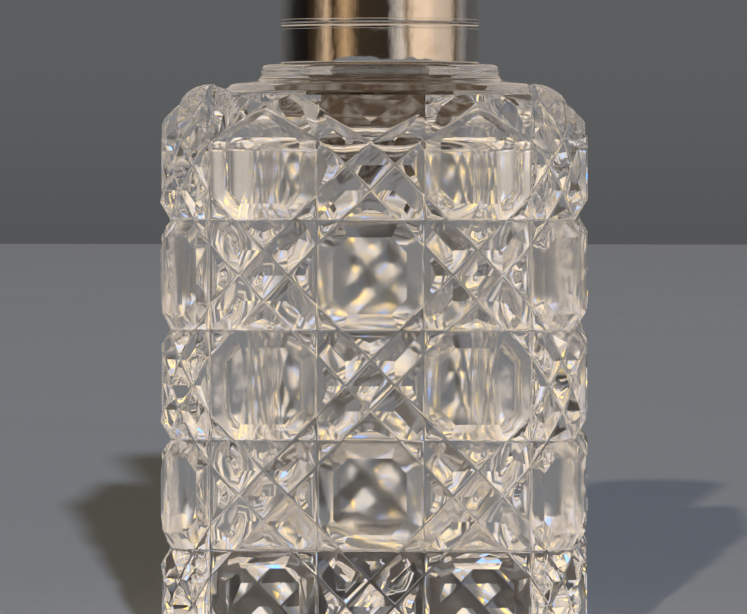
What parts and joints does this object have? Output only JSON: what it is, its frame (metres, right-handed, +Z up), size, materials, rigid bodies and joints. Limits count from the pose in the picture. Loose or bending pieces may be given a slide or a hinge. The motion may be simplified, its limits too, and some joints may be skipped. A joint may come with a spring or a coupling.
{
  "type": "perfume bottle",
  "caption": "Square cut-crystal perfume bottle, mitre-cut all over, with a silver collar, a hinged silver lid and a lift-out ground glass stopper.",
  "frame": {"origin": "centre of the base, on the surface the bottle stands on", "axes": "+Z up through the neck and lid; -Y is the front; the lid's hinge is at the back, +Y; +X to the right seen from the front"},
  "size_m": [0.056, 0.056, 0.102],
  "materials": {
    "cut_crystal": "polished lead crystal, clear",
    "ground_stopper": "clear glass, plug ground matt",
    "silver": "polished sterling silver with fine wear and light tarnish, lid gilt inside",
    "cement": "aged brown plaster"
  },
  "bodies": {
    "bottle": {"glass_body": "cut_crystal", "neck_cement": "cement", "collar_sleeve": "silver", "collar_bezel": "silver", "collar_rim": "silver", "hinge_knuckle_left": "silver", "hinge_knuckle_right": "silver", "hinge_leaf_collar": "silver", "hinge_pin": "silver"},
    "lid": {"lid_shell": "silver", "lid_rim": "silver", "hinge_knuckle_lid": "silver", "hinge_leaf_lid": "silver"},
    "stopper": {"glass_stopper": "ground_stopper"}
  },
  "joints": [
    {"name": "lid_hinge", "type": "hinge", "parent": "bottle", "child": "lid", "pos_m": [0, 0.01475, 0.0846], "axis": [-1, 0, 0], "range_deg": [0, 115]},
    {"name": "stopper_lift", "type": "slide", "parent": "bottle", "child": "stopper", "axis": [0, 0, 1], "range_m": [0, 0.007]}
  ]
}
